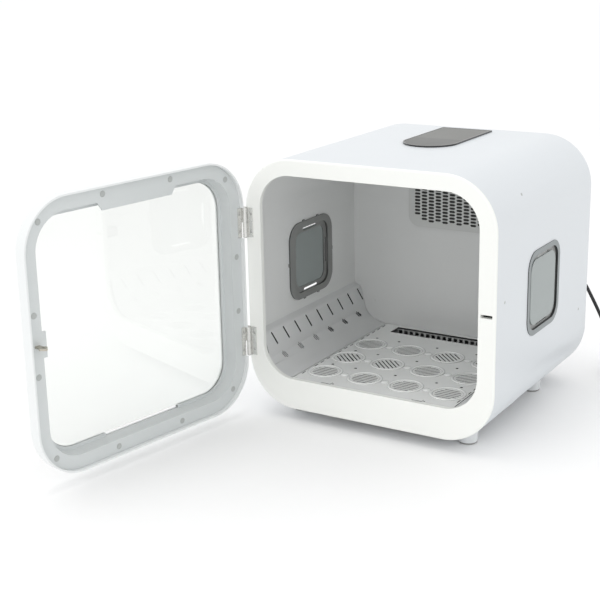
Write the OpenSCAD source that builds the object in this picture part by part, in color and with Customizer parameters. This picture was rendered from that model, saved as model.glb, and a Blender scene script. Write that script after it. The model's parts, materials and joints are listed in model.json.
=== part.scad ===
// Warm-air drying cabinet with a see-through door, for small pets.
// Millimetres. X runs to the right, Y to the back, Z up from the surface it stands on.
// The origin is on that surface, under the middle of the cabinet's footprint.

/* [Cabinet] */
// Outside width of the cabinet
body_w = 450; // [430:1:480]
// Outside height of the cabinet without its feet
body_h = 430; // [420:1:460]
// Outside depth of the cabinet
body_d = 430; // [420:1:460]
// Radius of the four long edges
corner_r = 88; // [80:1:92]
// Wall of the outer shell
shell_t = 3; // [2.5:0.5:3.5]
// Radius round the back
back_r = 20; // [14:1:22]
// Height of the feet
foot_h = 20; // [16:1:30]

/* [Doorway] */
// Width of the doorway
doorway_w = 393; // [370:1:400]
// Height of the doorway
doorway_h = 349; // [330:1:352]
// Corner radius of the doorway
doorway_r = 57; // [50:1:64]
// Height of the doorway's middle above the surface
doorway_z = 248.5; // [246:0.5:250]
// Thickness of the front frame
frame_t = 8; // [6:1:10]

/* [Chamber] */
// Distance from the cabinet's front to the chamber's back wall
chamber_d = 359.5; // [350:0.5:365]
// Wall of the chamber
liner_t = 2; // [1.5:0.5:2.5]
// Height of the floor plate's upper face
floor_z = 71; // [70:1:73]
// Height of the chamber's ceiling
ceiling_z = 430; // [426:1:434]

/* [Door] */
// How far the door stands open, in degrees
door_open = 100; // [0:5:150]
// Depth of the door
door_t = 34; // [32:1:38]
// Width of the door's border round its pane
door_border = 34; // [32:1:38]
// Height of each butt hinge
hinge_h = 50; // [40:5:60]
// Distance of each hinge's middle above and below the cabinet's middle
hinge_rise = 103.5; // [90:0.5:110]

/* [Side windows] */
// Width of a window's bezel
window_w = 139; // [130:1:145]
// Height of a window's bezel
window_h = 142; // [132:1:148]
// Height of a window's middle
window_z = 234; // [225:1:240]
// Distance from the cabinet's front to a window's middle
window_d = 197; // [190:1:205]

/* [Top panel] */
// Width of the control panel
panel_w = 96; // [80:1:110]
// Length of the control panel
panel_l = 196; // [170:1:200]

/* [Mains lead] */
// Diameter of the lead
cord_d = 6.5; // [6:0.5:7]

/* [Hidden] */

SMOOTH = 96;
eps = 0.01;

// Colours
WHITE = [0.93, 0.95, 0.96];
WARM_WHITE = [0.95, 0.95, 0.93];
LIGHT_GREY = [0.80, 0.81, 0.81];
DOOR_GREY = [0.78, 0.80, 0.80];
DARK_GREY = [0.36, 0.37, 0.37];
SMOKE = [0.50, 0.51, 0.48];
BLACK = [0.08, 0.08, 0.08];
STEEL = [0.72, 0.72, 0.70];
COPPER_GREEN = [0.10, 0.35, 0.22];

// Main planes and heights
front_y = -body_d / 2;
back_y = body_d / 2;
side_x = body_w / 2;
body_z = foot_h + body_h / 2;
body_top = foot_h + body_h;
shell_front_y = front_y + 4.4;
frame_back_y = front_y + frame_t;
spigot_y = frame_back_y + 8;
wall_y = front_y + chamber_d;
liner_gap = 0.4;
liner_x = side_x - shell_t - liner_gap - liner_t;
liner_bottom = foot_h + shell_t + liner_gap;
liner_r = corner_r - shell_t - liner_gap;
window_y = front_y + window_d;

// ---------------------------------------------------------------- helpers

// A rectangle with round corners, centred
module round_rect(w, h, r) {
    square([w - 2 * r, h], center = true);
    square([w, h - 2 * r], center = true);
    for (sx = [-1, 1], sy = [-1, 1])
        translate([sx * (w / 2 - r), sy * (h / 2 - r)])
            circle(r = r, $fn = SMOOTH);
}

// A slot with half-round ends along X
module stadium(length, width) {
    square([length - width, width], center = true);
    for (s = [-1, 1])
        translate([s * (length - width) / 2, 0])
            circle(d = width, $fn = 24);
}

// Extrudes a shape drawn in XZ along +Y
module prism_y(t) {
    rotate([90, 0, 0])
        translate([0, 0, -t])
            linear_extrude(t)
                children();
}

// Extrudes a shape drawn in YZ along +X
module prism_x(t) {
    rotate([90, 0, 90])
        linear_extrude(t)
            children();
}

// Runs a profile round a rounded rectangle in XZ. The profile's X is the distance out from
// a corner's centre, so its outline is at X = r, and its Y is the depth.
module ring_sweep(w, h, r) {
    for (i = [0:3]) {
        sx = (i == 0 || i == 3) ? 1 : -1;
        sz = (i < 2) ? 1 : -1;
        translate([sx * (w / 2 - r), 0, sz * (h / 2 - r)])
            rotate([-90, 0, 0])
                rotate([0, 0, -90 * (i + 1)])
                    rotate_extrude(angle = 90, $fn = SMOOTH)
                        children();
    }
    for (s = [0, 1])
        mirror([s, 0, 0])
            translate([w / 2 - r, 0, r - h / 2])
                linear_extrude(h - 2 * r)
                    children();
    for (s = [0, 1])
        mirror([0, 0, s])
            translate([r - w / 2, 0, h / 2 - r])
                rotate([0, 90, 0])
                    mirror([1, 0, 0])
                        linear_extrude(w - 2 * r)
                            children();
}

function unit(v) = v / norm(v);

// A round tube of the given radius along a line of points. guide is never parallel to it.
module tube(line, radius, sides, guide) {
    last = len(line) - 1;
    points = [
        for (j = [0:last])
            let (along = unit(line[min(j + 1, last)] - line[max(j - 1, 0)]),
                 across = unit(cross(along, guide)), over = cross(along, across))
            for (k = [0:sides - 1])
                line[j] + radius * (cos(k * 360 / sides) * across + sin(k * 360 / sides) * over)
    ];
    skin = [for (j = [0:last - 1], k = [0:sides - 1])
        let (a = j * sides + k, b = j * sides + (k + 1) % sides)
        [a, b, b + sides, a + sides]];
    ends = [[for (k = [sides - 1:-1:0]) k], [for (k = [0:sides - 1]) last * sides + k]];
    polyhedron(points = points, faces = concat(skin, ends), convexity = 4);
}

// Puts its children on the left as drawn, or mirrors them to the right
module on_side(side) {
    mirror([side > 0 ? 1 : 0, 0, 0])
        children();
}

// ---------------------------------------------------------------- cabinet shell

module shell_profile() {
    reach = back_y - back_r - shell_front_y;
    difference() {
        union() {
            translate([0, shell_front_y])
                square([corner_r, reach]);
            translate([corner_r - back_r, back_y - back_r])
                circle(r = back_r, $fn = SMOOTH);
            translate([0, back_y - back_r - eps])
                square([corner_r - back_r, back_r + eps]);
        }
        translate([-1, shell_front_y - 1])
            square([corner_r - shell_t + 1, reach + 1]);
        translate([corner_r - back_r, back_y - back_r])
            circle(r = back_r - shell_t, $fn = SMOOTH);
        translate([-1, back_y - back_r - 1])
            square([corner_r - back_r + 1, back_r - shell_t + 1]);
    }
}

// The window's hole through shell and liner
module window_hole() {
    translate([-side_x - 5, window_y, window_z])
        prism_x(20)
            round_rect(window_w - 7, window_h - 8, 27);
}

// A pocket on the lower edge for the fingers
grip_l = 128;
grip_w = 34;
grip_y = front_y + 201;
grip_turn = 48;
grip_depth = 13.5;
grip_wall = 2.5;

// Puts its children on the lower left edge, where X is the depth into the shell
module on_edge() {
    translate([corner_r - side_x, grip_y, foot_h + corner_r])
        rotate([0, -grip_turn, 0])
            translate([-corner_r, 0, 0])
                children();
}

module grip_hole() {
    on_edge()
        translate([-5, 0, 0])
            prism_x(5 + grip_depth)
                stadium(grip_l, grip_w);
}

module grip_cup(grow) {
    on_edge()
        translate([grip_wall, 0, 0])
            prism_x(grip_depth + grow)
                stadium(grip_l + 2 * (grip_wall + grow), grip_w + 2 * (grip_wall + grow));
}

// The openings under the chamber that the damp air leaves by
vent_x = 55;
module base_openings(grow) {
    for (s = [-1, 1])
        translate([s * vent_x, 0, foot_h - 5])
            linear_extrude(20)
                square([74 + 2 * grow, 150 + 2 * grow], center = true);
}

cover_w = 300;
cover_h = 300;
cover_z = body_z + 10;
screw_r = 2.6;
side_screws = [[front_y + 35, 251], [front_y + 373, 149]];
edge_screw_y = front_y + 116;
edge_screw_turn = 28;

// Puts its children at each screw on the left side, with Z pointing out of the shell
module at_shell_screws() {
    for (p = side_screws)
        translate([-side_x, p[0], p[1]])
            rotate([0, -90, 0])
                children();
    translate([corner_r - side_x, edge_screw_y, body_top - corner_r])
        rotate([0, edge_screw_turn - 90, 0])
            translate([0, 0, corner_r])
                children();
}

module outer_shell() {
    color(WHITE)
        difference() {
            union() {
                translate([0, 0, body_z])
                    ring_sweep(body_w, body_h, corner_r)
                        shell_profile();
                translate([0, back_y - shell_t, body_z])
                    prism_y(shell_t)
                        square([body_w - 2 * corner_r, body_h - 2 * corner_r], center = true);
                for (side = [-1, 1])
                    on_side(side)
                        grip_cup(0);
            }
            base_openings(0);
            for (side = [-1, 1]) {
                on_side(side)
                    window_hole();
                on_side(side)
                    grip_hole();
                on_side(side)
                    at_shell_screws()
                        translate([0, 0, -1])
                            cylinder(r = screw_r, h = 2, $fn = 24);
            }
            translate([0, back_y - 10, cover_z])
                prism_y(20)
                    round_rect(cover_w - 14, cover_h - 14, 18);
            translate([0, 0, body_top - 10])
                linear_extrude(20)
                    panel_outline(-8);
            translate([cord_x, back_y - 10, cord_z])
                rotate([-90, 0, 0])
                    cylinder(r = relief_hole_r, h = 20, $fn = 48);
        }
}

module rear_cover() {
    louvre_pitch = 12;
    color(WHITE)
        difference() {
            translate([0, back_y, cover_z])
                prism_y(2.5)
                    round_rect(cover_w, cover_h, 24);
            for (i = [0:9], s = [-1, 1])
                translate([s * 62, back_y - 1, cover_z - 118 + i * louvre_pitch])
                    prism_y(6)
                        stadium(96, 5);
            for (sx = [-1, 1], sz = [-1, 1])
                translate([sx * 138, back_y + 1.5, cover_z + sz * 138])
                    rotate([-90, 0, 0])
                        cylinder(r = screw_r, h = 2, $fn = 24);
        }
}

module shell_screws() {
    depth = 0.7;
    color(LIGHT_GREY) {
        for (side = [-1, 1])
            on_side(side)
                at_shell_screws()
                    translate([0, 0, -1])
                        cylinder(r = screw_r, h = depth, $fn = 24);
        for (sx = [-1, 1], sz = [-1, 1])
            translate([sx * 138, back_y + 1.5, cover_z + sz * 138])
                rotate([-90, 0, 0])
                    cylinder(r = screw_r, h = depth, $fn = 24);
    }
}

// ---------------------------------------------------------------- front frame and latch

slot_x = 210;
slot_z = body_z;
slot_w = 19.5;
slot_h = 5.4;
edge_r = 3;

module frame_rim_profile() {
    band = corner_r - 60;
    translate([60, front_y + edge_r])
        square([band, 4 - edge_r]);
    translate([60, front_y])
        square([band - edge_r, 4]);
    translate([corner_r - edge_r, front_y + edge_r])
        circle(r = edge_r, $fn = 48);
}

module front_frame() {
    spigot_wall = 2.5;
    color(WARM_WHITE)
        difference() {
            union() {
                translate([0, 0, body_z])
                    ring_sweep(body_w, body_h, corner_r)
                        intersection() {
                            frame_rim_profile();
                            translate([60, front_y])
                                square([40, 4]);
                        }
                translate([0, front_y, body_z])
                    prism_y(4)
                        round_rect(body_w - 40, body_h - 40, corner_r - 20);
                translate([0, front_y + 4 - eps, body_z])
                    prism_y(frame_t - 4 + eps)
                        round_rect(body_w - 2 * shell_t, body_h - 2 * shell_t, corner_r - shell_t);
                translate([0, frame_back_y - eps, body_z])
                    prism_y(spigot_y - frame_back_y)
                        difference() {
                            round_rect(body_w - 2 * shell_t, body_h - 2 * shell_t, corner_r - shell_t);
                            round_rect(body_w - 2 * shell_t - 2 * spigot_wall,
                                       body_h - 2 * shell_t - 2 * spigot_wall,
                                       corner_r - shell_t - spigot_wall);
                        }
            }
            translate([0, front_y - 1, doorway_z])
                prism_y(frame_t + 12)
                    round_rect(doorway_w, doorway_h, doorway_r);
            translate([slot_x, front_y - 1, slot_z])
                prism_y(frame_t + 2)
                    square([slot_w, slot_h], center = true);
            for (z = hinge_heights(), s = [-1, 1])
                translate([leaf_screw_x, front_y - eps, z + s * leaf_screw_rise])
                    rotate([-90, 0, 0])
                        cylinder(r = 1.5, h = frame_t - 1, $fn = 24);
        }
}

module latch_housing() {
    depth = 16;
    color(DARK_GREY)
        difference() {
            translate([slot_x - 8.5, frame_back_y, slot_z - 9])
                cube([17.5, depth + 12, 18]);
            translate([slot_x - 7, frame_back_y - 1, slot_z - slot_h / 2])
                cube([14.5, depth + 11.5, slot_h]);
        }
}

plunger_y = frame_back_y + 7;

module latch_plunger() {
    color(BLACK)
        translate([slot_x - 6.5, plunger_y, slot_z - slot_h / 2 + 0.4])
            cube([13.4, 4, slot_h - 0.8]);
}

// A point on the spring's wire, t in turns
spring_r = 1.75;
spring_wire = 0.35;
spring_turns = 5;
spring_y = plunger_y + 4;
spring_l = 10.6;
function on_spring(t) = [
    slot_x + spring_r * cos(t * 360),
    spring_y + spring_wire + 0.05 + (spring_l - 2 * spring_wire) * t / spring_turns,
    slot_z + spring_r * sin(t * 360),
];

module latch_spring() {
    steps = 16 * spring_turns;
    points = [for (i = [0:steps]) i / 16];
    color(STEEL)
        tube([for (t = points) on_spring(t)], spring_wire, 6, [0, 1, 0]);
}

// ---------------------------------------------------------------- chamber

module liner_outline(grow) {
    h = ceiling_z + liner_t - liner_bottom;
    translate([0, liner_bottom + h / 2])
        round_rect(2 * (liner_x + liner_t) + 2 * grow, h + 2 * grow, liner_r + grow);
}

rail_x = 141;

module inner_liner() {
    color(LIGHT_GREY) {
        difference() {
            translate([0, spigot_y, 0])
                prism_y(wall_y + 2.5 - spigot_y)
                    difference() {
                        liner_outline(0);
                        liner_outline(-liner_t);
                    }
            for (side = [-1, 1])
                on_side(side) {
                    window_hole();
                    grip_cup(0.5);
                }
            translate([0, 0, 3])
                base_openings(0);
        }
        for (side = [-1, 1])
            translate([side * rail_x - 1.5, spigot_y, liner_bottom + liner_t - eps])
                cube([3, wall_y - spigot_y, floor_z - plate_t - 0.3 - liner_bottom - liner_t]);
    }
}

intake_w = 204;
intake_h = 130;
intake_z = 335;
probe_x = 96;
probe_z = 196;
probe_r = 2;
wall_dimples = [[0, 234], [-178, 112.4], [178, 112.4]];

module back_wall() {
    color(LIGHT_GREY)
        difference() {
            union() {
                translate([0, wall_y, 0])
                    prism_y(2.5)
                        liner_outline(-liner_t);
                for (p = wall_dimples)
                    translate([p[0], wall_y - 0.8, p[1]])
                        rotate([-90, 0, 0])
                            cylinder(r = 4, h = 1, $fn = 32);
            }
            translate([0, wall_y - 1, intake_z])
                prism_y(10)
                    round_rect(intake_w - 12, intake_h - 12, 14);
            translate([-outlet_w / 2, wall_y - 1, 46])
                cube([outlet_w, 10, 20]);
            translate([probe_x, wall_y - 1, probe_z])
                rotate([-90, 0, 0])
                    cylinder(r = probe_r, h = 10, $fn = 24);
        }
}

// A panel of long six-sided holes in columns, each column set half a step from the next
module intake_grille() {
    hole_w = 12;
    hole_h = 4.2;
    col_pitch = 14;
    row_pitch = 6.2;
    cols = 13;
    rows = 18;
    nose = 2;
    color(LIGHT_GREY)
        translate([0, wall_y - 2.5, intake_z])
            prism_y(2.5)
                difference() {
                    round_rect(intake_w, intake_h, 20);
                    for (i = [0:cols - 1], j = [0:rows - 1]) {
                        x = (i - (cols - 1) / 2) * col_pitch;
                        z = (j - (rows - 1) / 2) * row_pitch + (i % 2) * row_pitch / 2;
                        past_corner = abs(x) > 80 && abs(z) > 46;
                        if (!past_corner && abs(z) < intake_h / 2 - 7)
                            translate([x, z])
                                polygon([
                                    [-hole_w / 2, 0], [nose - hole_w / 2, hole_h / 2],
                                    [hole_w / 2 - nose, hole_h / 2], [hole_w / 2, 0],
                                    [hole_w / 2 - nose, -hole_h / 2], [nose - hole_w / 2, -hole_h / 2],
                                ]);
                    }
                }
}

module air_filter() {
    pleat = 9.5;
    color([0.9, 0.9, 0.88])
        translate([0, wall_y + 0.2, intake_z]) {
            prism_y(3)
                round_rect(intake_w - 14, intake_h - 14, 13);
            for (i = [-9:9])
                translate([i * pleat - 1.5, 3 - eps, -54])
                    cube([3, 4, 108]);
        }
}

outlet_w = 246;
outlet_y = front_y + 348;
slot_pitch = 11.4;

module outlet_grille() {
    slots = 21;
    face_t = 2.5;
    top = floor_z - plate_t - 0.4;
    bottom = 48;
    color(LIGHT_GREY)
        difference() {
            translate([-outlet_w / 2, outlet_y, bottom])
                cube([outlet_w, wall_y - outlet_y, top - bottom]);
            translate([face_t - outlet_w / 2, outlet_y + face_t, bottom + face_t])
                cube([outlet_w - 2 * face_t, 40, top - bottom - 2 * face_t]);
            for (i = [0:slots - 1])
                translate([(i - (slots - 1) / 2) * slot_pitch - 3.6, outlet_y - 1, bottom + 3.5])
                    cube([7.2, face_t + 2, top - bottom - 5]);
        }
}

// The duct panel's room side in XZ, moved inwards by inset: a slope off the wall, a rounded
// shoulder, a steep face and a cove down to the floor
cove_r = 51;
cove_centre = [-151, floor_z + cove_r];
shoulder_r = 11;
shoulder_centre = [-215.9, 131.4];
slope_turn = 64;
face_turn = 15;
cove_turn = 209;
duct_thick = 2.4;

function arc(centre, r, from, to, steps) =
    [for (i = [0:steps]) centre + r * [for (f = [0, 90]) cos(from + (to - from) * i / steps - f)]];
function duct_line(inset) =
    let (r = shoulder_r - inset, top = shoulder_centre + r * [cos(slope_turn), sin(slope_turn)])
    concat(
        [[-liner_x, top[1] + (top[0] + liner_x) / tan(slope_turn)]],
        arc(shoulder_centre, r, slope_turn, face_turn, 10),
        arc(cove_centre, cove_r + inset, cove_turn, 270, 20)
    );

side_slot_pitch = 38.2;
side_slot_y = front_y + 44;
group_pitch = 53;
group_y = front_y + 60;

module duct_slots() {
    for (i = [0:8])
        translate([-215, side_slot_y + i * side_slot_pitch, 125])
            prism_x(30)
                rotate(115)
                    stadium(26, 3.4);
    for (i = [0:5], k = [-1:1])
        translate([-212, group_y + i * group_pitch + k * 4, 93 - abs(k) * 0.5])
            prism_x(30)
                rotate(i < 3 ? 112 : 125)
                    stadium(k == 0 ? 13 : 9, i < 3 ? 1.6 : 2.4);
}

module side_duct(side) {
    inner = duct_line(duct_thick);
    color(LIGHT_GREY)
        on_side(side)
            difference() {
                translate([0, spigot_y + 1, 0])
                    prism_y(wall_y - spigot_y - 2)
                        polygon(concat(duct_line(0), [for (i = [len(inner) - 1:-1:0]) inner[i]]));
                duct_slots();
            }
}

// ---------------------------------------------------------------- floor plate

plate_t = 3;
plate_w = 300;
disc_x = 77.4;
disc_y = 82;
first_disc_y = front_y + 68;
disc_r = 28.5;

// Slot lines across one disc
module disc_slots(turn) {
    pitch = 7;
    reach = 22;
    rotate(turn)
        for (k = [-2.5:1:2.5])
            translate([0, k * pitch])
                stadium(2 * sqrt(reach * reach - k * k * pitch * pitch), 2.2);
}

// Slot direction by column and row: across in front, then leaning one way and the other
function disc_turn(col, row) = row == 0 ? 0 : ((row == 1) == (col < 2)) ? -45 : 45;

module floor_plate() {
    front = frame_back_y + 3;
    back = wall_y - 1.5;
    color([0.84, 0.85, 0.85]) {
        difference() {
            translate([-plate_w / 2 + 0.6, front, floor_z - plate_t])
                cube([plate_w - 1.2, back - front, plate_t]);
            translate([-119, front_y + 315, floor_z - 10])
                cube([238, 33.6, 20]);
            for (col = [0:3], row = [0:2])
                translate([(col - 1.5) * disc_x, first_disc_y + row * disc_y, floor_z - 10])
                    linear_extrude(20)
                        disc_slots(disc_turn(col, row));
            for (i = [0:14], s = [-1, 1])
                translate([s * 146, front_y + 46 + i * 21, floor_z - 10])
                    linear_extrude(20)
                        rotate(90)
                            stadium(12, 1.8);
            for (x = [-123, -disc_x, 0, disc_x, 123], row = [0:2])
                translate([x, front_y + 106 + row * disc_y, floor_z - 10])
                    cylinder(d = 5, h = 20, $fn = 24);
            for (s = [-1, 1])
                translate([s * 85 + 12, front_y + 20, floor_z - 10])
                    cylinder(d = 3, h = 20, $fn = 24);
        }
        for (col = [0:3], row = [0:2])
            translate([(col - 1.5) * disc_x, first_disc_y + row * disc_y, floor_z - eps])
                rotate_extrude($fn = 64)
                    translate([disc_r - 2, 0])
                        square([2, 0.9]);
        for (x = [-disc_x, 0, disc_x], row = [0:2])
            translate([x, first_disc_y + row * disc_y, floor_z - eps])
                cylinder(d1 = 13, d2 = 8, h = 1.2, $fn = 32);
        for (s = [-1, 1])
            translate([s * 85, front_y + 20, floor_z - eps])
                linear_extrude(0.8)
                    square([18, 8], center = true);
    }
}

// ---------------------------------------------------------------- side windows

window_flange = 1.2;
vent_l = 46;

// Bezel on the outside, with a collar through the wall
module window_bezel(side) {
    color([0.74, 0.77, 0.78])
        on_side(side)
            translate([-side_x, window_y, window_z])
                difference() {
                    union() {
                        translate([-window_flange, 0, 0])
                            prism_x(window_flange)
                                round_rect(window_w, window_h, 31);
                        prism_x(3)
                            round_rect(window_w - 7.4, window_h - 8.4, 26.8);
                    }
                    translate([-5, 0, 0])
                        prism_x(20)
                            round_rect(window_w - 18, window_h - 18, 23);
                }
}

pane_x = -side_x + 0.8;

module window_pane(side) {
    color([0.62, 0.66, 0.65, 0.6])
        on_side(side)
            translate([pane_x, window_y, window_z])
                prism_x(2)
                    round_rect(window_w - 32, window_h - 32, 21);
}

// Clip frame on the inside. Its web holds the pane and is cut by a vent along each side.
module window_clip(side) {
    flange_w = window_w + 8;
    flange_h = window_h - 1;
    web_x = pane_x + 2;
    web_t = 1.2;
    wall_in = -liner_x;
    color(DARK_GREY)
        on_side(side)
            translate([0, window_y, window_z]) {
                difference() {
                    union() {
                        translate([wall_in, 0, 0])
                            prism_x(2.4)
                                round_rect(flange_w, flange_h, 32);
                        translate([web_x, 0, 0])
                            prism_x(wall_in - web_x + 1)
                                round_rect(window_w - 18.4, window_h - 18.4, 22.8);
                    }
                    translate([web_x + web_t, 0, 0])
                        prism_x(20)
                            round_rect(window_w - 24, window_h - 24, 20);
                    translate([web_x - 1, 0, 0])
                        prism_x(20)
                            round_rect(window_w - 42, window_h - 42, 16);
                    for (a = [0, 90, 180, 270])
                        translate([web_x - 1, 0, 0])
                            prism_x(4)
                                rotate(a)
                                    translate([(window_w - 30) / 2 + 1.2, 0])
                                        square([5.2, vent_l], center = true);
                }
                for (s = [-1, 1], t = [-1, 1])
                    translate([wall_in, t * 24 - 3, s * (flange_h / 2 + 1) - 1.6])
                        cube([1.6, 6, 3.2]);
                for (s = [-1, 1])
                    translate([wall_in, s * (flange_w / 2 + 1) - 1.6, -3])
                        cube([1.6, 3.2, 6]);
            }
}

// ---------------------------------------------------------------- top panel

panel_y = front_y + 190;

// A panel with a half-round front end and a square back end
module panel_outline(grow) {
    r = panel_w / 2 + grow;
    translate([0, panel_y + panel_w / 2])
        circle(r = r, $fn = SMOOTH);
    translate([-r, panel_y + panel_w / 2])
        square([2 * r, panel_l - panel_w / 2 + grow]);
}

module panel_surround() {
    color(BLACK)
        translate([0, 0, body_top])
            linear_extrude(2.8)
                difference() {
                    panel_outline(0);
                    panel_outline(-2);
                }
}

module control_panel() {
    color(SMOKE)
        translate([0, 0, body_top])
            linear_extrude(2.6)
                panel_outline(-2.2);
}

module display_board() {
    color(COPPER_GREEN)
        translate([-36, panel_y + 30, body_top - 9])
            cube([72, 140, 1.6]);
    color(BLACK)
        for (i = [0:4])
            translate([-20, panel_y + 52 + i * 24, body_top - 7.5])
                cube([12, 8, 3]);
    color(WHITE)
        translate([2, panel_y + 60, body_top - 7.5])
            cube([26, 60, 4.5]);
}

// ---------------------------------------------------------------- base and feet

module base_plate() {
    color(LIGHT_GREY)
        difference() {
            translate([0, 0, foot_h - 2.5])
                linear_extrude(2.5)
                    round_rect(236, 370, 14);
            for (i = [-5:5], s = [-1, 1])
                translate([s * vent_x, i * 13.5, foot_h - 5])
                    linear_extrude(10)
                        stadium(70, 5);
        }
}

foot_x = 158;
foot_front_y = front_y + 57;
foot_rear_y = front_y + 331;
pad_h = 3;

module foot(x, y) {
    color(LIGHT_GREY)
        difference() {
            translate([x, y, pad_h])
                cylinder(d1 = 31, d2 = 36, h = foot_h + 10, $fn = 64);
            translate([0, front_y, body_z])
                prism_y(body_d)
                    round_rect(body_w, body_h, corner_r);
        }
}

module foot_pad(x, y) {
    color([0.75, 0.75, 0.74])
        translate([x, y, 0])
            rotate_extrude($fn = 64)
                difference() {
                    square([15, pad_h]);
                    translate([15, 0])
                        rotate(45)
                            square(1.6, center = true);
                }
}

// ---------------------------------------------------------------- warm-air works

fan_x = -18;
fan_z = 335;
fan_r = 50;
scroll_r = 66;
fan_front = wall_y + 9;
fan_back = fan_front + 42;
duct_x0 = fan_x + 8;

module scroll_outline(shrink) {
    translate([fan_x, fan_z])
        circle(r = scroll_r - shrink, $fn = SMOOTH);
    translate([duct_x0 + shrink, fan_z - 100])
        square([scroll_r - 8 - 2 * shrink, 100]);
}

module blower_housing() {
    wall = 2;
    color(DARK_GREY)
        difference() {
            translate([0, fan_front, 0])
                prism_y(fan_back - fan_front)
                    scroll_outline(0);
            translate([0, fan_front + wall, 0])
                prism_y(fan_back - fan_front - 2 * wall)
                    scroll_outline(wall);
            translate([duct_x0 + wall, fan_front + wall, fan_z - 101])
                cube([scroll_r - 8 - 2 * wall, fan_back - fan_front - 2 * wall, 4]);
            translate([fan_x, fan_front - 1, fan_z])
                rotate([-90, 0, 0])
                    cylinder(r = 38, h = 4, $fn = 64);
            translate([fan_x, fan_back - 4, fan_z])
                rotate([-90, 0, 0])
                    cylinder(r = 20, h = 6, $fn = 64);
        }
}

shaft_r = 3;

module blower_motor() {
    color(STEEL)
        translate([fan_x, fan_back - 8, fan_z])
            rotate([-90, 0, 0])
                difference() {
                    union() {
                        cylinder(r = 19.9, h = 14, $fn = 64);
                        translate([0, 0, 8])
                            cylinder(r = 26, h = 4, $fn = 64);
                    }
                    translate([0, 0, -1])
                        cylinder(r = shaft_r + 0.06, h = 20, $fn = 48);
                }
}

module blower_rotor() {
    blades = 24;
    depth = 26;
    y0 = fan_front + 5;
    color(BLACK)
        translate([fan_x, y0, fan_z])
            rotate([-90, 0, 0]) {
                translate([0, 0, depth - 2])
                    cylinder(r = fan_r, h = 2, $fn = 96);
                difference() {
                    cylinder(r = fan_r, h = 2, $fn = 96);
                    translate([0, 0, -1])
                        cylinder(r = fan_r - 11, h = 4, $fn = 96);
                }
                for (i = [0:blades - 1])
                    rotate(i * 360 / blades)
                        translate([fan_r - 9, 0, 1])
                            rotate(30)
                                cube([8, 1.2, depth - 1.9]);
                translate([0, 0, 12])
                    cylinder(r = 9, h = depth - 13, $fn = 48);
                translate([0, 0, 10])
                    cylinder(r = shaft_r, h = 36, $fn = 48);
            }
}

module heater_duct() {
    wall = 2;
    top = fan_z - 101;
    y0 = wall_y + 3;
    depth = fan_back - y0;
    color([0.55, 0.56, 0.56])
        difference() {
            union() {
                translate([duct_x0, y0, 60])
                    cube([scroll_r - 8, depth, top - 60]);
                translate([-outlet_w / 2, y0, 40])
                    cube([outlet_w, depth, 32]);
            }
            translate([duct_x0 + wall, y0 + wall, 55])
                cube([scroll_r - 8 - 2 * wall, depth - 2 * wall, top - 50]);
            translate([wall - outlet_w / 2, y0 - 1, 40 + wall])
                cube([outlet_w - 2 * wall, depth - wall + 1, 32 - 2 * wall]);
        }
}

module ptc_heater() {
    fins = 11;
    x0 = duct_x0 + 3.5;
    color([0.80, 0.78, 0.72]) {
        difference() {
            translate([x0, wall_y + 8, 160])
                cube([scroll_r - 15, 34, 22]);
            translate([x0 + 3, wall_y + 11, 155])
                cube([scroll_r - 21, 28, 40]);
        }
        for (i = [1:fins])
            translate([x0 + 2 + i * 3.75, wall_y + 10.5, 161])
                cube([1.2, 29, 20]);
    }
}

module main_board() {
    x0 = -165;
    y0 = wall_y + 12;
    z0 = 110;
    color(COPPER_GREEN)
        translate([x0, y0, z0])
            cube([95, 1.6, 120]);
    color(LIGHT_GREY)
        for (dx = [8, 87], dz = [8, 112])
            translate([x0 + dx, wall_y + 2.5, z0 + dz])
                rotate([-90, 0, 0])
                    cylinder(r = 3, h = 9.6, $fn = 24);
    color([0.85, 0.75, 0.2])
        translate([x0 + 12, y0 + 1.5, z0 + 70])
            cube([30, 22, 28]);
    color(BLACK)
        for (i = [0:2])
            translate([x0 + 58 + i * 12, y0 + 1.5, z0 + 88])
                rotate([-90, 0, 0])
                    cylinder(r = 5, h = 20, $fn = 32);
    color([0.2, 0.35, 0.7])
        translate([x0 + 14, y0 + 1.5, z0 + 16])
            cube([28, 16, 12]);
}

module temperature_probe() {
    color(STEEL)
        translate([probe_x, wall_y - 6, probe_z])
            rotate([-90, 0, 0]) {
                cylinder(r = probe_r, h = 14, $fn = 24);
                translate([0, 0, 4])
                    cylinder(r = 4.5, h = 2, $fn = 32);
                sphere(r = probe_r, $fn = 24);
            }
}

// ---------------------------------------------------------------- door

hinge_x = -side_x + 1;
hinge_y = front_y - 4;
knuckle_r = 4;
leaf_t = 1.2;
leaf_w = 13.5;
pin_r = 2;
leaf_screw_x = hinge_x + 10;
leaf_screw_rise = 15;

function hinge_heights() = [body_z + hinge_rise, body_z - hinge_rise];

door_gap = 1;
ring_face_y = front_y - 8;
ring_inset = 3.2;
ring_band = 22;
door_rim_y = front_y - door_gap;
door_out_y = door_rim_y - door_t;
door_x0 = -side_x + 6;
door_w = side_x - door_x0;
door_x = door_x0 + door_w / 2;
door_r = 82;
pane_w = door_w - 2 * door_border;
pane_h = body_h - 2 * door_border;
pane_r = 50;
pane_t = 3;
pane_y = door_out_y + 3;
door_vent_w = 155;
door_vent_h = 5;
door_edge_r = 20;

// Turns its children about the hinge line from shut to where the door stands
module on_door() {
    translate([hinge_x, hinge_y, 0])
        rotate([0, 0, -door_open])
            translate([-hinge_x, -hinge_y, 0])
                children();
}

// The opening through the door, with the vent notch along its lower edge
module door_opening(grow) {
    round_rect(pane_w + 2 * grow, pane_h + 2 * grow, pane_r + grow);
    translate([-door_vent_w / 2, -pane_h / 2 - door_vent_h])
        square([door_vent_w, door_vent_h + 20]);
}

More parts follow.
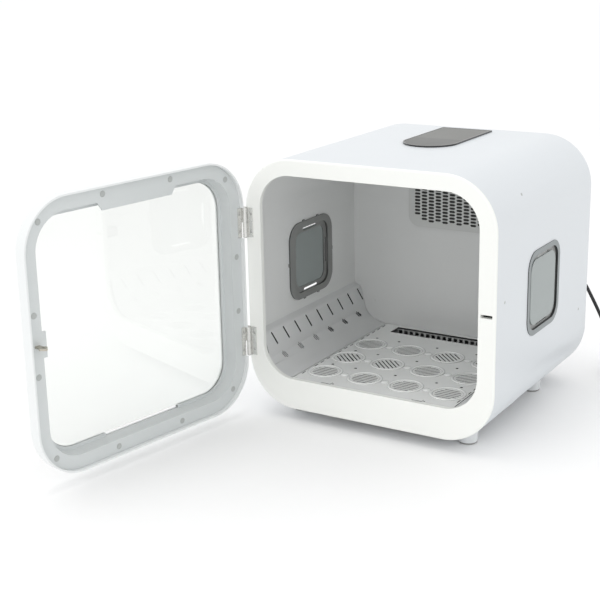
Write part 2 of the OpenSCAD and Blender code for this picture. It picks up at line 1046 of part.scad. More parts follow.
module door_frame_profile() {
    wall = 3;
    difference() {
        union() {
            translate([door_r - door_border - 8, door_out_y])
                square([door_border + 8 - door_edge_r, door_t]);
            translate([door_r - door_border - 8, door_out_y + door_edge_r])
                square([door_border + 8, door_t - door_edge_r]);
            translate([door_r - door_edge_r, door_out_y + door_edge_r])
                circle(r = door_edge_r, $fn = 48);
        }
        translate([-1, door_out_y + 3])
            square([door_r - door_edge_r + 1, door_t]);
        translate([-1, door_out_y + door_edge_r])
            square([door_r - wall + 1, door_t]);
        translate([door_r - door_edge_r, door_out_y + door_edge_r])
            circle(r = door_edge_r - wall, $fn = 48);
    }
}

module door_frame() {
    color(WHITE)
        on_door()
            difference() {
                translate([door_x, 0, body_z])
                    ring_sweep(door_w, body_h, door_r)
                        door_frame_profile();
                translate([door_x, door_out_y - 1, body_z])
                    prism_y(20)
                        door_opening(0);
                for (z = hinge_heights())
                    translate([door_x0 - 1, ring_face_y - 0.4, z - hinge_h / 2 - 1])
                        cube([5, 20, hinge_h + 2]);
            }
}

// Inner ring: a flat band, a steep wall down from it, and a flange that lies on the pane
module door_ring_profile() {
    skin = 2.4;
    out = door_r - ring_inset;
    in = out - ring_band;
    edge = door_r - door_border;
    wall_foot = edge + door_vent_h;
    pane_in = pane_y + pane_t;
    rim_foot = door_out_y + door_edge_r;
    polygon([
        [out, ring_face_y], [in, ring_face_y], [wall_foot, pane_in + skin],
        [edge, pane_in + skin], [edge, pane_in], [wall_foot + skin, pane_in],
        [in + skin, ring_face_y - skin], [out - skin, ring_face_y - skin],
        [out - skin, rim_foot], [out, rim_foot],
    ]);
}

module door_ring() {
    lip_w = 158;
    lip_h = 13;
    lip_z = body_h / 2 - ring_inset - ring_band;
    latch_lip_h = 40;
    lip_t = 2.4;
    color(DOOR_GREY)
        on_door() {
            difference() {
                translate([door_x, 0, body_z])
                    ring_sweep(door_w, body_h, door_r)
                        door_ring_profile();
                translate([door_x, door_out_y - 1, body_z])
                    prism_y(40)
                        round_rect(pane_w, pane_h, pane_r);
                translate([door_x - door_vent_w / 2, door_out_y - 1, body_z - pane_h / 2 - door_vent_h])
                    cube([door_vent_w, 14, door_vent_h + 2]);
                for (p = plug_places())
                    translate([door_x + p[0], ring_face_y - 1.2, body_z + p[1]])
                        rotate([-90, 0, 0])
                            cylinder(r = plug_r, h = 4, $fn = 32);
                for (z = hinge_heights(), s = [-1, 1])
                    translate([leaf_screw_x, ring_face_y - 6, z + s * leaf_screw_rise])
                        rotate([-90, 0, 0])
                            cylinder(r = 1.5, h = 8, $fn = 24);
                translate([slot_x - 4, ring_face_y - 4, slot_z - striker_t / 2])
                    cube([8, 6, striker_t]);
            }
            translate([door_x, ring_face_y - lip_t, body_z + lip_z])
                prism_y(lip_t)
                    polygon([
                        [-lip_w / 2, 1], [lip_w / 2, 1], [lip_w / 2, 0], [lip_w / 2 - 9, -lip_h],
                        [9 - lip_w / 2, -lip_h], [-lip_w / 2, 0],
                    ]);
            translate([side_x - ring_inset - ring_band - 7, ring_face_y - lip_t, body_z - latch_lip_h / 2])
                cube([8, lip_t, latch_lip_h]);
            for (z = hinge_heights(), s = [-1, 1])
                difference() {
                    translate([door_x0 + ring_inset, ring_face_y - 7, z + s * leaf_screw_rise - 4])
                        cube([6, 5, 8]);
                    translate([leaf_screw_x, ring_face_y - 8, z + s * leaf_screw_rise])
                        rotate([-90, 0, 0])
                            cylinder(r = 1.5, h = 9, $fn = 24);
                }
        }
}

module door_pane() {
    lap = 5;
    color([0.9, 0.93, 0.92, 0.3])
        on_door()
            translate([door_x, pane_y, body_z])
                prism_y(pane_t)
                    difference() {
                        round_rect(pane_w + 2 * lap, pane_h + 2 * lap, pane_r + lap);
                        translate([-door_vent_w / 2 - 1, -pane_h / 2 - lap - 1])
                            square([door_vent_w + 2, lap + 1]);
                    }
}

plug_r = 5;
plug_inset = 13.5;

// Screw plugs: two along each side and one on each corner's diagonal
function plug_places() =
    let (px = door_w / 2 - plug_inset, pz = body_h / 2 - plug_inset,
         arc = (door_r - plug_inset) * sqrt(0.5),
         cx = door_w / 2 - door_r + arc, cz = body_h / 2 - door_r + arc)
    concat(
        [for (sx = [-1, 1], sz = [-1, 1]) [sx * 68, sz * pz]],
        [for (sx = [-1, 1], sz = [-1, 1]) [sx * px, sz * 47]],
        [for (sx = [-1, 1], sz = [-1, 1]) [sx * cx, sz * cz]]
    );

module door_plugs() {
    color([0.70, 0.72, 0.71])
        on_door()
            for (p = plug_places())
                translate([door_x + p[0], ring_face_y - 1.2, body_z + p[1]])
                    rotate([-90, 0, 0]) {
                        cylinder(r = plug_r, h = 0.9, $fn = 32);
                        cylinder(r = plug_r - 0.8, h = 1.3, $fn = 32);
                    }
}

// Flat arrowhead that enters the slot in the front frame, on a foot behind the door's ring
striker_t = 3;

module latch_striker() {
    root_y = ring_face_y - 2.4;
    foot_t = 1.5;
    color(STEEL)
        on_door() {
            translate([slot_x, root_y, slot_z - striker_t / 2])
                linear_extrude(striker_t)
                    difference() {
                        polygon([
                            [-4, -foot_t], [4, -foot_t], [4, 11.4], [7, 14.9], [7, 17.4], [1.5, 24.9],
                            [-1.5, 24.9], [-7, 17.4], [-7, 14.9], [-4, 11.4],
                        ]);
                        translate([0, 16.4])
                            circle(r = 2.2, $fn = 32);
                    }
            translate([slot_x - 7, root_y - foot_t, slot_z - 5])
                cube([14, foot_t, 10]);
        }
}

// ---------------------------------------------------------------- hinges

// One leaf, drawn with its knuckle's middle at the origin of XY and its plate towards +X.
// up is 1 for the leaf that has the upper knuckle, and 0 for the lower one.
module hinge_leaf(up, plate_y, bore_r) {
    half = hinge_h / 2 - 0.15;
    difference() {
        union() {
            translate([0, 0, up ? 0.15 : -hinge_h / 2])
                cylinder(r = knuckle_r, h = half, $fn = 48);
            translate([0, plate_y, up ? 0.15 : -hinge_h / 2])
                cube([knuckle_r + 1, leaf_t, half]);
            translate([knuckle_r + 0.6, plate_y, -hinge_h / 2])
                cube([leaf_w - knuckle_r - 0.6, leaf_t, hinge_h]);
        }
        translate([0, 0, -hinge_h])
            cylinder(r = bore_r, h = 2 * hinge_h, $fn = 48);
        for (s = [-1, 1])
            translate([leaf_screw_x - hinge_x, plate_y - 1, s * leaf_screw_rise])
                rotate([-90, 0, 0])
                    cylinder(r = 1.6, h = 4, $fn = 24);
    }
}

module hinge_leaf_frame(z) {
    color(STEEL)
        translate([hinge_x, hinge_y, z])
            hinge_leaf(0, knuckle_r - leaf_t, pin_r);
}

module hinge_leaf_door(z) {
    color(STEEL)
        on_door()
            translate([hinge_x, hinge_y, z])
                hinge_leaf(1, -knuckle_r, pin_r + 0.05);
}

module hinge_pin(z) {
    color([0.62, 0.62, 0.60])
        translate([hinge_x, hinge_y, z]) {
            translate([0, 0, -hinge_h / 2 - 1])
                cylinder(r = pin_r, h = hinge_h + 2, $fn = 48);
            for (s = [0, 1])
                mirror([0, 0, s])
                    translate([0, 0, hinge_h / 2 + 0.3])
                        cylinder(r1 = knuckle_r - 0.4, r2 = pin_r + 0.3, h = 1.2, $fn = 48);
        }
}

module leaf_screw() {
    cylinder(r1 = 2.6, r2 = 1.8, h = 1, $fn = 24);
    translate([0, 0, -5])
        cylinder(r = 1.45, h = 5.5, $fn = 24);
}

module hinge_screws_frame() {
    color([0.55, 0.55, 0.53])
        for (z = hinge_heights(), s = [-1, 1])
            translate([leaf_screw_x, front_y - leaf_t, z + s * leaf_screw_rise])
                rotate([90, 0, 0])
                    leaf_screw();
}

module hinge_screws_door() {
    color([0.55, 0.55, 0.53])
        on_door()
            for (z = hinge_heights(), s = [-1, 1])
                translate([leaf_screw_x, ring_face_y + leaf_t, z + s * leaf_screw_rise])
                    rotate([-90, 0, 0])
                        leaf_screw();
}

// ---------------------------------------------------------------- mains lead

cord_x = 189;
cord_z = 178;
relief_hole_r = 7;
relief_l = 34;
cord_r = cord_d / 2;
coil_mean_r = 32.8;
coil_x = 290;
coil_y = 262.6;
coil_step = cord_d + 0.1;

// The lead's route along its middle, from the strain relief down to the coil
cord_route = [
    [189, 243, 178], [189, 251, 177.6], [189.6, 260, 175.6], [191, 269, 171],
    [193.6, 277, 163.5], [197.2, 283, 153], [201.6, 288, 141], [207, 292, 128],
    [213.5, 295.5, 113], [220.5, 299, 96.5], [227, 302, 80], [233, 304, 64.5],
    [239, 305.5, 50], [246, 306.3, 35.5], [254.5, 306, 22], [265, 304.8, 11],
    [277, 303, 5], [290, 302, 3.4],
];

// A point on the smooth curve through the route, t = 0 at its first point
function smooth(a, b, c, d, u) =
    0.5 * (2 * b + (c - a) * u + (2 * a - 5 * b + 4 * c - d) * u * u
        + (3 * b - a - 3 * c + d) * u * u * u);
function on_route(t) =
    let (n = len(cord_route), i = min(floor(t), n - 2))
    smooth(cord_route[max(i - 1, 0)], cord_route[i], cord_route[i + 1],
           cord_route[min(i + 2, n - 1)], t - i);
module power_cord() {
    steps = 2 * (len(cord_route) - 1);
    color(BLACK)
        tube([for (i = [0:steps]) on_route(i / 2)], cord_r, 10, [1, -1, 0]);
}

plug_x = coil_x + coil_mean_r;
plug_y = coil_y - 44;
plug_z = 12.6;

// The wound lead's outer shape, and the tail that goes to the plug
module power_cord_coil() {
    inner = coil_mean_r - 1.5 * coil_step;
    outer = coil_mean_r + 1.5 * coil_step;
    color(BLACK) {
        translate([coil_x, coil_y, 0])
            rotate_extrude($fn = SMOOTH)
                polygon([
                    [inner, 0], [outer, 0], [outer, coil_step],
                    [coil_mean_r + 3.6, 17.8], [coil_mean_r - 3.6, 17.8], [inner, coil_step],
                ]);
        translate([plug_x, coil_y, plug_z])
            rotate([90, 0, 0])
                cylinder(r = cord_r, h = coil_y - plug_y, $fn = 32);
    }
}

module cord_tie() {
    w = 3 * coil_step + 1.6;
    color(BLACK)
        translate([coil_x - coil_mean_r, coil_y, 0])
            prism_y(9)
                difference() {
                    translate([-w / 2, 0])
                        square([w, 18.8]);
                    translate([-w / 2 + 1, 1])
                        square([w - 2, 16.8]);
                }
}

module plug() {
    body_l = 34;
    color(BLACK)
        translate([plug_x, plug_y, plug_z])
            rotate([90, 0, 0]) {
                difference() {
                    cylinder(r1 = 4.6, r2 = 6.5, h = 22, $fn = 48);
                    translate([0, 0, -1])
                        cylinder(r = cord_r, h = 12, $fn = 32);
                }
                translate([0, 0, 21.9])
                    linear_extrude(body_l)
                        round_rect(27, 25, 9);
            }
    color(STEEL)
        for (s = [-1, 1])
            translate([plug_x + s * 9.5, plug_y - 55, plug_z])
                rotate([90, 0, 0])
                    cylinder(d = 4.8, h = 19, $fn = 32);
}

module strain_relief() {
    color(BLACK)
        translate([cord_x, back_y - 2.5, cord_z])
            rotate([-90, 0, 0])
                difference() {
                    union() {
                        cylinder(r = relief_hole_r, h = 3, $fn = 48);
                        translate([0, 0, 2.5])
                            cylinder(r = relief_hole_r + 2.5, h = 3, $fn = 48);
                        translate([0, 0, 5])
                            cylinder(r1 = 7, r2 = 4.6, h = relief_l - 2.5, $fn = 48);
                    }
                    translate([0, 0, -1])
                        cylinder(r = cord_r, h = relief_l + 10, $fn = 48);
                }
}

// ---------------------------------------------------------------- nodes

outer_shell();
front_frame();
inner_liner();
back_wall();
base_plate();
rear_cover();
side_duct(-1);  // side_duct_left
side_duct(1);  // side_duct_right
outlet_grille();
intake_grille();
air_filter();
window_bezel(-1);  // window_bezel_left
window_bezel(1);  // window_bezel_right
window_pane(-1);  // window_pane_left
window_pane(1);  // window_pane_right
window_clip(-1);  // window_clip_left
window_clip(1);  // window_clip_right
panel_surround();
control_panel();
display_board();
foot(-foot_x, foot_front_y);  // foot_front_left
foot(foot_x, foot_front_y);  // foot_front_right
foot(-foot_x, foot_rear_y);  // foot_rear_left
foot(foot_x, foot_rear_y);  // foot_rear_right
foot_pad(-foot_x, foot_front_y);  // foot_pad_front_left
foot_pad(foot_x, foot_front_y);  // foot_pad_front_right
foot_pad(-foot_x, foot_rear_y);  // foot_pad_rear_left
foot_pad(foot_x, foot_rear_y);  // foot_pad_rear_right
shell_screws();
main_board();
blower_housing();
blower_motor();
blower_rotor();
heater_duct();
ptc_heater();
temperature_probe();
hinge_leaf_frame(body_z + hinge_rise);  // hinge_leaf_frame_upper
hinge_leaf_frame(body_z - hinge_rise);  // hinge_leaf_frame_lower
hinge_leaf_door(body_z + hinge_rise);  // hinge_leaf_door_upper
hinge_leaf_door(body_z - hinge_rise);  // hinge_leaf_door_lower
hinge_pin(body_z + hinge_rise);  // hinge_pin_upper
hinge_pin(body_z - hinge_rise);  // hinge_pin_lower
hinge_screws_frame();
hinge_screws_door();
door_frame();
door_ring();
door_pane();
door_plugs();
latch_striker();
latch_housing();
latch_plunger();
latch_spring();
floor_plate();
strain_relief();
power_cord();
power_cord_coil();
cord_tie();
plug();
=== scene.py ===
"""Looks for a warm-air drying cabinet: materials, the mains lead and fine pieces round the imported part."""

import json
import math

import bmesh
import bpy
from mathutils import Matrix, Vector


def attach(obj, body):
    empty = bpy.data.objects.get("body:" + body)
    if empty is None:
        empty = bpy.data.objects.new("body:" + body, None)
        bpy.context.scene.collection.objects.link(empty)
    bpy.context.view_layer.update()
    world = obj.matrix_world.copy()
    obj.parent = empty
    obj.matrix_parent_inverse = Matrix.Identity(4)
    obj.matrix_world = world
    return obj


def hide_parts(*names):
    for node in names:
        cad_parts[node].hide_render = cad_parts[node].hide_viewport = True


MM = 0.001
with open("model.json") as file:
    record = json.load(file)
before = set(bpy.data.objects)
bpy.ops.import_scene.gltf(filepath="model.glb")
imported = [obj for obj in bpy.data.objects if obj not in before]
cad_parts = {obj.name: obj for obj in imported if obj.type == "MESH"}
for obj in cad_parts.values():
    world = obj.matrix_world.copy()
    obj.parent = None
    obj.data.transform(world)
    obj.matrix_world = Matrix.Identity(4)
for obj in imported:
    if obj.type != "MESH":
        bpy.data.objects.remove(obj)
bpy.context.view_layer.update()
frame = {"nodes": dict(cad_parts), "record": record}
scene = bpy.context.scene
nodes = frame["nodes"]
slots = {row["node"]: row["material_slot"] for row in frame["record"]["subparts"]}

# ---------------------------------------------------------------- camera

CAMERA_PLACE = Vector((0.9437, -1.9300, 0.8170))
CAMERA_TURN = math.radians(31.86)
CAMERA_DROP = math.radians(16.56)
CAMERA_ROLL = math.radians(-1.26)
LENS = 76.46


def make_camera():
    data = bpy.data.cameras.new("camera")
    data.sensor_width = 36
    data.lens = LENS
    data.clip_start = 0.05
    camera = bpy.data.objects.new("camera", data)
    scene.collection.objects.link(camera)
    turn = Matrix.Rotation(CAMERA_TURN, 4, "Z")
    drop = Matrix.Rotation(math.pi / 2 - CAMERA_DROP, 4, "X")
    roll = Matrix.Rotation(CAMERA_ROLL, 4, "Z")
    camera.matrix_world = Matrix.Translation(CAMERA_PLACE) @ turn @ drop @ roll
    scene.camera = camera


make_camera()

# ---------------------------------------------------------------- materials


class Shader:
    """A material with one Principled shader, and short calls for the nodes that feed it."""

    def __init__(self, name):
        self.material = bpy.data.materials.new(name)
        self.material.use_nodes = True
        self.tree = self.material.node_tree
        self.main = self.tree.nodes["Principled BSDF"]
        self.place = self.add("ShaderNodeTexCoord").outputs["Object"]

    def add(self, kind, **settings):
        node = self.tree.nodes.new(kind)
        for key, value in settings.items():
            setattr(node, key, value)
        return node

    def link(self, source, target):
        self.tree.links.new(source, target)

    def set(self, **values):
        for key, value in values.items():
            self.main.inputs[key.replace("_", " ")].default_value = value

    def noise(self, scale, detail=2.0, stretch=(1, 1, 1)):
        mapping = self.add("ShaderNodeMapping")
        mapping.inputs["Scale"].default_value = stretch
        self.link(self.place, mapping.inputs["Vector"])
        node = self.add("ShaderNodeTexNoise")
        node.inputs["Scale"].default_value = scale
        node.inputs["Detail"].default_value = detail
        self.link(mapping.outputs["Vector"], node.inputs["Vector"])
        return node.outputs["Fac"]

    def spread(self, value, low, high, start=0.3, end=0.7):
        node = self.add("ShaderNodeMapRange")
        node.inputs["From Min"].default_value = start
        node.inputs["From Max"].default_value = end
        node.inputs["To Min"].default_value = low
        node.inputs["To Max"].default_value = high
        self.link(value, node.inputs["Value"])
        return node.outputs["Result"]

    def colour(self, value, dark, light):
        node = self.add("ShaderNodeMix", data_type="RGBA")
        node.inputs["A"].default_value = (*dark, 1)
        node.inputs["B"].default_value = (*light, 1)
        self.link(value, node.inputs["Factor"])
        self.link(node.outputs["Result"], self.main.inputs["Base Color"])

    def bump(self, value, strength, depth):
        node = self.add("ShaderNodeBump")
        node.inputs["Strength"].default_value = strength
        node.inputs["Distance"].default_value = depth
        self.link(value, node.inputs["Height"])
        self.link(node.outputs["Normal"], self.main.inputs["Normal"])


def shade(rgb, factor):
    return tuple(min(1.0, channel * factor) for channel in rgb)


def plastic(name, rgb, rough, mottle=0.012, grain=1400, depth=0.00001, strength=0.2, coat=0.0):
    """Moulded plastic: faint flow marks in the colour, slightly uneven gloss and a fine grain."""
    s = Shader(name)
    flow = s.noise(5, 3)
    s.colour(s.spread(flow, 0, 1), shade(rgb, 1 - mottle), shade(rgb, 1 + mottle * 0.4))
    s.link(s.spread(s.noise(11, 2), rough - 0.012, rough + 0.018), s.main.inputs["Roughness"])
    s.bump(s.noise(grain, 2), strength, depth)
    s.set(Coat_Weight=coat, Coat_Roughness=0.12)
    s.main.inputs["IOR"].default_value = 1.5
    return s


def split_plastic(name, rgb, dark, axis, edge, rough, ior=1.5):
    """Moulded plastic that changes to a second colour below edge, in metres along axis."""
    s = plastic(name, rgb, rough)
    s.main.inputs["IOR"].default_value = ior
    first = s.main.inputs["Base Color"].links[0].from_socket
    parts = s.add("ShaderNodeSeparateXYZ")
    s.link(s.place, parts.inputs["Vector"])
    side = s.spread(parts.outputs[axis], 0, 1, edge - 0.0006, edge + 0.0006)
    mix = s.add("ShaderNodeMix", data_type="RGBA")
    mix.inputs["A"].default_value = (*dark, 1)
    s.link(first, mix.inputs["B"])
    s.link(side, mix.inputs["Factor"])
    s.link(mix.outputs["Result"], s.main.inputs["Base Color"])
    return s


def paint_hole_shade(s, axis, facing, dark):
    """Paints shade on the cut edges of holes: their walls take the dark colour as painted shade in the holes
    and slots. facing says whether the sheet's own faces look along axis.
    """
    first = s.main.inputs["Base Color"].links[0].from_socket
    parts = s.add("ShaderNodeSeparateXYZ")
    s.link(s.add("ShaderNodeTexCoord").outputs["Normal"], parts.inputs["Vector"])
    size = s.add("ShaderNodeMath", operation="ABSOLUTE")
    s.link(parts.outputs[axis], size.inputs[0])
    mix = s.add("ShaderNodeMix", data_type="RGBA")
    if facing:
        side = s.spread(size.outputs["Value"], 0, 1, 0.1, 0.35)
    else:
        side = s.spread(size.outputs["Value"], 1, 0, 0.2, 0.5)
    mix.inputs["A"].default_value = (*dark, 1)
    s.link(first, mix.inputs["B"])
    s.link(side, mix.inputs["Factor"])
    s.link(mix.outputs["Result"], s.main.inputs["Base Color"])
    return s


def brushed(name, rgb, rough, stretch=(1, 1, 40)):
    """Brushed steel: fine scratches along one direction."""
    s = Shader(name)
    lines = s.noise(260, 4, stretch)
    s.colour(s.spread(lines, 0, 1), shade(rgb, 0.86), shade(rgb, 1.06))
    s.link(s.spread(s.noise(90, 3), rough - 0.06, rough + 0.1), s.main.inputs["Roughness"])
    s.bump(lines, 0.18, 0.00003)
    s.set(Metallic=1.0)
    return s


def clear(name, rgb, rough, transmission):
    """Clear or smoked plastic sheet with a trace of haze."""
    s = Shader(name)
    s.colour(s.spread(s.noise(9, 3), 0, 1), shade(rgb, 0.985), rgb)
    s.link(s.spread(s.noise(30, 3), rough, rough + 0.02), s.main.inputs["Roughness"])
    s.bump(s.noise(60, 1), 0.04, 0.00002)
    s.main.inputs["Transmission Weight"].default_value = transmission
    s.main.inputs["IOR"].default_value = 1.49
    return s


def fleece(name, rgb):
    """Filter fleece: felted fibres."""
    s = Shader(name)
    fibres = s.noise(900, 6, (1, 4, 1))
    s.colour(s.spread(fibres, 0, 1), shade(rgb, 0.82), rgb)
    s.set(Roughness=0.95, Sheen_Weight=0.3)
    s.bump(fibres, 0.6, 0.0003)
    return s


# The liner's colour is painted shade behind the side ducts and under the floor plate, up to this height in
# metres
LINER_PAINTED_SHADE_BELOW = 0.138
# The touch panel's front end is darker than the rest, as far back as this in metres
PANEL_DARK_FRONT = 0.054


def make_materials():
    made = {
        "shell": plastic("shell", (0.675, 0.705, 0.73), 0.36),
        "frame_plastic": plastic("frame_plastic", (0.90, 0.91, 0.88), 0.34),
        "chamber_plastic": plastic("chamber_plastic", (0.76, 0.77, 0.765), 0.42),
        # The duct, floor, grille, bezel and clip plastics get a dark second colour on the walls of their
        # holes and slots: painted shade.
        "duct_plastic": paint_hole_shade(
            plastic("duct_plastic", (0.72, 0.73, 0.73), 0.36), "Y", False, (0.02, 0.02, 0.02)),
        "floor_plastic": paint_hole_shade(
            plastic("floor_plastic", (0.97, 0.98, 0.97), 0.13, coat=0.8), "Z", True, (0.08, 0.08, 0.08)),
        "base_plastic": plastic("base_plastic", (0.62, 0.62, 0.62), 0.5, depth=0.00005),
        "grille_plastic": paint_hole_shade(
            plastic("grille_plastic", (0.66, 0.67, 0.66), 0.42), "Y", True, (0.02, 0.02, 0.02)),
        "filter_fleece": fleece("filter_fleece", (0.07, 0.07, 0.068)),
        "bezel_plastic": paint_hole_shade(
            plastic("bezel_plastic", (0.22, 0.245, 0.25), 0.34), "X", True, (0.03, 0.032, 0.032)),
        "window_pane": clear("window_pane", (0.35, 0.392, 0.387), 0.08, 0.22),
        "clip_plastic": paint_hole_shade(
            plastic("clip_plastic", (0.26, 0.266, 0.26), 0.40), "X", True, (0.09, 0.092, 0.09)),
        "panel_rim": plastic("panel_rim", (0.010, 0.010, 0.011), 0.25, coat=0.3),
        "panel_lens": split_plastic(
            "panel_lens", (0.085, 0.087, 0.078), (0.045, 0.047, 0.042), "Y", PANEL_DARK_FRONT, 0.30,
            ior=1.33),
        "board": plastic("board", (0.02, 0.10, 0.05), 0.35),
        "foot_plastic": plastic("foot_plastic", (0.76, 0.78, 0.79), 0.42),
        "pad_rubber": plastic("pad_rubber", (0.30, 0.30, 0.29), 0.75, depth=0.0001, strength=0.5),
        "screw_steel": brushed("screw_steel", (0.50, 0.50, 0.49), 0.32),
        "works_plastic": plastic("works_plastic", (0.06, 0.062, 0.062), 0.5),
        "motor_steel": brushed("motor_steel", (0.55, 0.55, 0.54), 0.3),
        "rotor_plastic": plastic("rotor_plastic", (0.012, 0.012, 0.012), 0.45),
        "duct_steel": brushed("duct_steel", (0.42, 0.43, 0.43), 0.42),
        "heater_alloy": brushed("heater_alloy", (0.70, 0.68, 0.62), 0.36),
        "hinge_steel": brushed("hinge_steel", (0.74, 0.74, 0.72), 0.22),
        "pin_steel": brushed("pin_steel", (0.55, 0.55, 0.53), 0.25),
        "door_white": plastic("door_white", (0.80, 0.82, 0.82), 0.30),
        "door_grey": plastic("door_grey", (0.63, 0.66, 0.66), 0.30),
        "door_clear": clear("door_clear", (0.945, 0.962, 0.943), 0.0, 0.985),
        "plug_grey": plastic("plug_grey", (0.44, 0.46, 0.45), 0.45),
        "striker_steel": brushed("striker_steel", (0.52, 0.49, 0.42), 0.26),
        "spring_steel": brushed("spring_steel", (0.45, 0.45, 0.45), 0.3),
        "latch_plastic": plastic("latch_plastic", (0.02, 0.02, 0.02), 0.45),
        "cord_black": plastic("cord_black", (0.010, 0.010, 0.011), 0.45, depth=0.00004),
        "plug_black": plastic("plug_black", (0.014, 0.014, 0.015), 0.38),
        # The liner's second, near-black colour below that height is painted shade.
        "liner": split_plastic(
            "liner", (0.80, 0.81, 0.805), (0.012, 0.012, 0.012), "Z", LINER_PAINTED_SHADE_BELOW, 0.42),
    }
    return {name: shader.material for name, shader in made.items()}


materials = make_materials()

SMOOTH_BELOW = math.radians(28)
OWN_MATERIAL = {"inner_liner": "liner"}


def dress_nodes():
    """Each CAD node takes its slot's material. Its faces are shaded smooth, with an edge split keeping edges
    sharper than the split angle hard.
    """
    for name, node in nodes.items():
        node.data.materials.clear()
        node.data.materials.append(materials[OWN_MATERIAL.get(name, slots[name])])
        for face in node.data.polygons:
            face.use_smooth = True
        split = node.modifiers.new("split", "EDGE_SPLIT")
        split.split_angle = SMOOTH_BELOW


dress_nodes()

# ---------------------------------------------------------------- helpers for new pieces


def piece(name, mesh_or_curve, slot, body):
    made = bpy.data.objects.new(name, mesh_or_curve)
    scene.collection.objects.link(made)
    made.data.materials.append(materials[slot])
    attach(made, body)
    return made


def to_mesh(name, shape, smooth=True):
    mesh = bpy.data.meshes.new(name)
    shape.to_mesh(mesh)
    shape.free()
    for face in mesh.polygons:
        face.use_smooth = smooth
    return mesh


def lathe(shape, profile, place, steps=32, closed=False):
    """Adds a turned form round +Z from (radius, height) pairs. A closed one is a ring."""
    rings = []
    for radius, height in profile:
        ring = []
        for i in range(steps):
            angle = 2 * math.pi * i / steps
            point = Vector((radius * math.cos(angle), radius * math.sin(angle), height))
            ring.append(shape.verts.new(place @ point))
        rings.append(ring)
    following = rings[1:] + (rings[:1] if closed else [])
    for below, above in zip(rings, following):
        for i in range(steps):
            j = (i + 1) % steps
            shape.faces.new((below[i], below[j], above[j], above[i]))
    if not closed:
        shape.faces.new(rings[0][::-1])
        shape.faces.new(rings[-1])


# ---------------------------------------------------------------- floor plate relief

DISC_X = 77.4 * MM
DISC_Y = 82 * MM
FIRST_DISC_Y = -147 * MM
DISC_R = 28.5 * MM
PLATE_TOP = 71 * MM
RIM_INSIDE = DISC_R - 3.4 * MM
RIM_OUTSIDE = DISC_R + 2.2 * MM
RIM_HEIGHT = 2.0 * MM
DOME_R = 7.2 * MM
DOME_HEIGHT = 2.6 * MM


def rounded(shape, middle, inner, outer, height, steps=64):
    """Adds a half-round bead between two radii, or a dome where inner is zero."""
    rise = 8
    profile = []
    for i in range(rise + 1):
        turn = math.pi * i / rise
        if inner:
            radius = (inner + outer) / 2 + (outer - inner) / 2 * math.cos(turn)
        else:
            radius = max(outer * math.cos(turn / 2), outer * 0.02)
        lift = math.sin(turn) if inner else math.sin(turn / 2)
        profile.append((radius, height * lift))
    place = Matrix.Translation(Vector((middle[0], middle[1], PLATE_TOP)))
    lathe(shape, profile, place, steps, closed=bool(inner))


def make_floor_relief():
    rims = bmesh.new()
    domes = bmesh.new()
    for row in range(3):
        y = FIRST_DISC_Y + row * DISC_Y
        for column in range(4):
            x = (column - 1.5) * DISC_X
            rounded(rims, (x, y), RIM_INSIDE, RIM_OUTSIDE, RIM_HEIGHT)
        for column in range(3):
            rounded(domes, ((column - 1) * DISC_X, y), 0, DOME_R, DOME_HEIGHT, 40)
    piece("floor_rims", to_mesh("floor_rims", rims), "floor_plastic", "floor")
    piece("floor_domes", to_mesh("floor_domes", domes), "floor_plastic", "floor")


make_floor_relief()

# ---------------------------------------------------------------- mains lead

CORD_D = 6.5 * MM
CORD_ROUTE = [
    (189, 243, 178), (189, 251, 177.6), (189.6, 260, 175.6), (191, 269, 171),
    (193.6, 277, 163.5), (197.2, 283, 153), (201.6, 288, 141), (207, 292, 128),
    (213.5, 295.5, 113), (220.5, 299, 96.5), (227, 302, 80), (233, 304, 64.5),
    (239, 305.5, 50), (246, 306.3, 35.5), (254.5, 306, 22), (265, 304.8, 11),
    (277, 303, 5), (290, 302, 3.4),
]
COIL_MIDDLE = Vector((290, 262.6, 0)) * MM
COIL_RADIUS = 32.8 * MM
COIL_STEP = CORD_D + 0.1 * MM
FLOOR_LIFT = 0.15 * MM
PLUG_END = Vector((322.8, 218.6, 12.6)) * MM
TURN_STEPS = 24


def coil_points():
    """The lead's turns, clockwise from above: three on the floor from outside in, then two, then one."""
    layer = COIL_STEP * 0.87
    base = CORD_D / 2 + FLOOR_LIFT
    turns = [
        (1.0, 0), (0.0, 0), (-1.0, 0),
        (-0.5, 1), (0.5, 1), (0.0, 2),
    ]
    points = []
    for index, (offset, level) in enumerate(turns):
        following = turns[min(index + 1, len(turns) - 1)]
        for i in range(TURN_STEPS):
            part = i / TURN_STEPS
            ease = max(0.0, (part - 0.6) / 0.4)
            ease = ease * ease * (3 - 2 * ease)
            radius = COIL_RADIUS + COIL_STEP * (offset + (following[0] - offset) * ease)
            height = base + layer * (level + (following[1] - level) * ease)
            angle = math.pi / 2 - 2 * math.pi * part
            spot = Vector((math.cos(angle) * radius, math.sin(angle) * radius, height))
            points.append(COIL_MIDDLE + spot)
    return points


def line_length(points):
    return sum((b - a).length for a, b in zip(points, points[1:]))


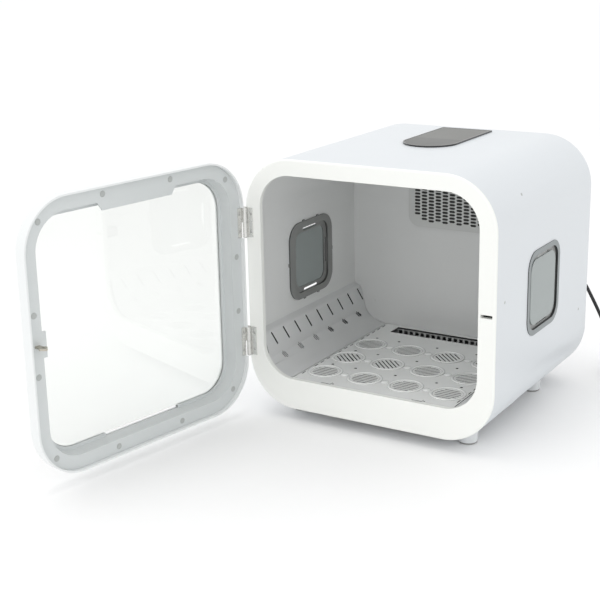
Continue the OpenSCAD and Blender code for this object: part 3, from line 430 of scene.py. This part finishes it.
def make_cord():
    route = [Vector(p) * MM for p in CORD_ROUTE]
    turns = coil_points()
    last_quarter = TURN_STEPS // 4
    lead_out = [
        Vector((PLUG_END.x, COIL_MIDDLE.y - 12 * MM, 14.2 * MM)),
        Vector((PLUG_END.x, COIL_MIDDLE.y - 26 * MM, 13.0 * MM)),
        PLUG_END - Vector((0, 4 * MM, 0)),
    ]
    final = []
    for i in range(last_quarter + 1):
        angle = math.pi / 2 - math.pi / 2 * i / last_quarter
        spot = Vector((math.cos(angle), math.sin(angle), 0)) * COIL_RADIUS
        final.append(COIL_MIDDLE + spot + Vector((0, 0, turns[-1].z)))
    points = route[1:-1] + turns + final + lead_out
    curve = bpy.data.curves.new("mains_lead", "CURVE")
    curve.dimensions = "3D"
    curve.bevel_depth = CORD_D / 2
    curve.bevel_resolution = 4
    curve.use_fill_caps = True
    spline = curve.splines.new("POLY")
    spline.points.add(len(points) - 1)
    for target, point in zip(spline.points, points):
        target.co = (*point, 1)
    lead = piece("mains_lead", curve, "cord_black", "cabinet")
    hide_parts("power_cord", "power_cord_coil")
    print("lead length", round(line_length(points), 4))
    return lead


lead = make_cord()

# ---------------------------------------------------------------- floor and light


def make_floor():
    shape = bmesh.new()
    half = 30.0
    corners = [(-half, -half), (half, -half), (half, half), (-half, half)]
    shape.faces.new([shape.verts.new((x, y, 0)) for x, y in corners])
    mesh = to_mesh("floor", shape, smooth=False)
    floor = bpy.data.objects.new("floor", mesh)
    scene.collection.objects.link(floor)
    s = Shader("floor")
    s.colour(s.spread(s.noise(40, 2), 0, 1), (0.945, 0.945, 0.945), (0.95, 0.95, 0.95))
    s.set(Roughness=1.0)
    s.main.inputs["Specular IOR Level"].default_value = 0.0
    floor.data.materials.append(s.material)


def add_area(name, place, target, size, power, colour=(1, 1, 1)):
    data = bpy.data.lights.new(name, "AREA")
    data.shape = "DISK"
    data.size = size
    data.energy = power
    data.color = colour
    light = bpy.data.objects.new(name, data)
    scene.collection.objects.link(light)
    aim = (Vector(target) - Vector(place)).to_track_quat("-Z", "Y").to_matrix().to_4x4()
    light.matrix_world = Matrix.Translation(Vector(place)) @ aim


def make_light():
    world = bpy.data.worlds.new("studio")
    scene.world = world
    world.use_nodes = True
    back = world.node_tree.nodes["Background"]
    back.inputs["Color"].default_value = (1.0, 1.0, 1.0, 1)
    back.inputs["Strength"].default_value = 1.06
    middle = (0, 0, 0.2)
    add_area("top_light", (-0.4, -0.3, 2.6), middle, 1.4, 7)
    add_area("front_light", (-0.9, -2.6, 1.3), middle, 1.2, 5)


make_floor()
make_light()
scene.view_settings.view_transform = "Standard"
